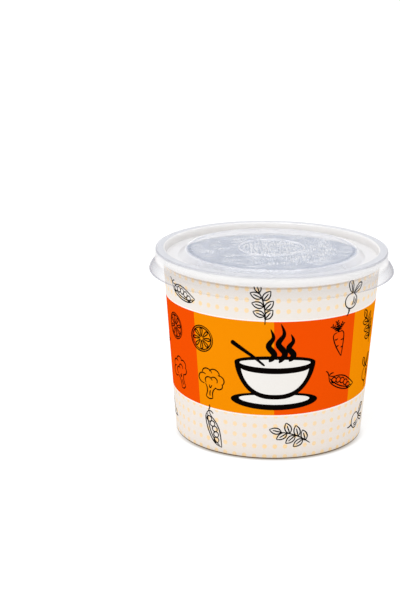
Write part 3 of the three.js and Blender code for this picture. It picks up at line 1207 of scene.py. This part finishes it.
# Places of the drawings: direction in degrees, height in millimetres and tilt in degrees. The rows above and
# below the band have the first direction, the step to the next, the height and the tilt.
BAND_PLACES = (
    (-42, 59, 20), (-37, 36.5, -8), (37, 60, 12), (42, 37, -24),
    (66, 60, 30), (69, 36, 8), (95, 49, -12), (122, 61, 20), (121, 36, -30),
    (149, 59, -10), (152, 36, 24),
    (243, 60, 12), (247, 36, -20), (270, 50, 14), (-66, 60, -16), (-64, 36, 22),
)
TOP_ROW = (-106, 50, 79.6, 14)
LOW_ROW = (-85, 49, 12.2, 70)
DRAWING_SCALE = 1.16


class SOUP_OT_drawings(bpy.types.Operator):
    """Prints line drawings of vegetables round the coloured band and in the dotted bands above and below."""

    bl_idname = "soup.drawings"
    bl_label = "Vegetable drawings"

    def execute(self, context):
        scene = context.scene
        count = len(DRAWINGS)
        places = list(BAND_PLACES)
        for start, step, height, tilt in (TOP_ROW, LOW_ROW):
            places += [(start + step * i, height, tilt * (-1) ** i) for i in range(count)]
        parts = []
        for i, place in enumerate(places):
            make = DRAWINGS[(3 * i + 1) % count]
            parts += drawn(scene.soup_cup, make(), *place, DRAWING_SCALE)
        material = print_ink(scene, "drawing_ink", scene.soup_inks.ink)
        make_piece("vegetable_drawings", *join(parts), material, "printed_board")
        return {"FINISHED"}


# The studio: half the floor's side in metres, its faint clouds, and the narrow shade in front of the foot.
FLOOR_HALF = 8.0
FLOOR_CLOUD_SIZE = 300.0
FLOOR_MOTTLE = 0.99
FLOOR_ROUGHNESS = 0.7
CONTACT_WIDTH = 3.2
CONTACT_FRONT = (-40.0, 0.0)
CONTACT_SHADE = (0.20, 0.145, 0.085)
WHITE = (1.0, 1.0, 1.0)

# The lights' directions, and the angles in degrees under which they are seen, and the sensor's width in
# millimetres.
KEY_PLACE = (-0.35, -1.0, 1.3)
KEY_SPREAD = 9
TOP_PLACE = (-0.12, -0.1, 1.0)
TOP_SPREAD = 55
SENSOR = 36.0


class SOUP_OT_stage(bpy.types.Operator):
    """Makes the pale floor, the soft lights and the camera."""

    bl_idname = "soup.stage"
    bl_label = "Studio"

    def execute(self, context):
        scene = context.scene
        studio = scene.soup_studio
        scene.view_settings.view_transform = "Standard"
        make_floor(scene, studio)
        make_sky(scene, studio)
        make_light(scene, "key", KEY_PLACE, studio.key, KEY_SPREAD)
        make_light(scene, "top", TOP_PLACE, studio.top, TOP_SPREAD)
        make_camera(scene, studio)
        return {"FINISHED"}


def make_floor(scene, studio):
    """A flat matt square under the cup, barely uneven, with a narrow shade in front of the foot."""
    half = FLOOR_HALF
    corners = [(-half, -half, 0), (half, -half, 0), (half, half, 0), (-half, half, 0)]
    mesh = bpy.data.meshes.new("floor")
    mesh.from_pydata(corners, [], [(0, 1, 2, 3)])
    floor = bpy.data.objects.new("floor", mesh)
    scene.collection.objects.link(floor)
    shader = Shader("floor")
    x, y, _ = shader.place()
    foot = scene.soup_cup.foot_radius / MM
    # Painted contact shadow: the floor's glow turns dark brown in a narrow ring in front of the foot.
    shade = 1 - shader.past((x * x + y * y) ** 0.5, foot, (0, CONTACT_WIDTH))
    shade = shade * (1 - shader.step(y, *CONTACT_FRONT))
    mottled = shader.mix(studio.floor, darker(studio.floor, FLOOR_MOTTLE), shader.noise(FLOOR_CLOUD_SIZE))
    mesh.materials.append(shader.finish(
        Base_Color=mottled,
        Roughness=FLOOR_ROUGHNESS,
        Specular_IOR_Level=0.0,
        Emission_Color=shader.mix(WHITE, CONTACT_SHADE, shade),
        Emission_Strength=studio.glow,
    ))


def make_sky(scene, studio):
    """Even white light from all round."""
    world = bpy.data.worlds.new("sky")
    world.use_nodes = True
    background = world.node_tree.nodes["Background"]
    background.inputs["Color"].default_value = (*WHITE, 1)
    background.inputs["Strength"].default_value = studio.sky
    scene.world = world


def make_light(scene, name, place, strength, spread):
    """A far light that shines from a direction and is seen under an angle in degrees."""
    data = bpy.data.lights.new(name, "SUN")
    data.angle = math.radians(spread)
    data.energy = strength
    light = bpy.data.objects.new(name, data)
    light.rotation_euler = Vector(place).to_track_quat("Z", "Y").to_euler()
    scene.collection.objects.link(light)


def make_camera(scene, studio):
    """A level camera that faces the cup, turned by its pitch, then its yaw, then its roll."""
    cp, sp = math.cos(studio.camera_pitch), math.sin(studio.camera_pitch)
    cy, sy = math.cos(studio.camera_yaw), math.sin(studio.camera_yaw)
    cr, sr = math.cos(studio.camera_roll), math.sin(studio.camera_roll)
    ahead, up, right = np.array([0, cp, -sp]), np.array([0, sp, cp]), np.array([1.0, 0, 0])
    ahead, right = ahead * cy + right * sy, right * cy - ahead * sy
    right, up = right * cr + up * sr, up * cr - right * sr
    data = bpy.data.cameras.new("camera")
    data.sensor_width = SENSOR
    data.lens = studio.focal_length
    camera = bpy.data.objects.new("camera", data)
    place = (studio.camera_right, -studio.camera_distance, studio.camera_height)
    turn = Matrix(np.stack([right, up, -ahead], axis=1).tolist())
    camera.matrix_world = Matrix.Translation(place) @ turn.to_4x4()
    scene.collection.objects.link(camera)
    scene.camera = camera


class SOUP_PT_panel(bpy.types.Panel):
    """Lists the pieces and their sizes."""

    bl_label = "Soup container"
    bl_space_type = "VIEW_3D"
    bl_region_type = "UI"
    bl_category = "Soup container"

    def draw(self, context):
        for operator in OPERATORS:
            self.layout.operator(operator.bl_idname)
        for name in GROUPS:
            box = self.layout.box()
            group = getattr(context.scene, name)
            for key in group.__annotations__:
                box.prop(group, key)


GROUPS = {
    "soup_cup": CupSizes,
    "soup_print": PrintSizes,
    "soup_inks": PrintColours,
    "soup_lid": LidSizes,
    "soup_film": LidFilm,
    "soup_studio": StudioSettings,
}
OPERATORS = [
    SOUP_OT_stage, SOUP_OT_cup_wall, SOUP_OT_cup_base, SOUP_OT_lid, SOUP_OT_bowl_picture, SOUP_OT_drawings,
]


def register():
    """Registers the classes and hangs the settings on the scene."""
    for kind in [*GROUPS.values(), *OPERATORS, SOUP_PT_panel]:
        bpy.utils.register_class(kind)
    for name, group in GROUPS.items():
        setattr(bpy.types.Scene, name, PointerProperty(type=group))


def unregister():
    """Undoes register."""
    for name in GROUPS:
        delattr(bpy.types.Scene, name)
    for kind in reversed([*GROUPS.values(), *OPERATORS, SOUP_PT_panel]):
        bpy.utils.unregister_class(kind)


def main():
    """Makes every piece in order."""
    register()
    for operator in OPERATORS:
        getattr(bpy.ops.soup, operator.bl_idname.removeprefix("soup."))()


if __name__ == "__main__":
    main()
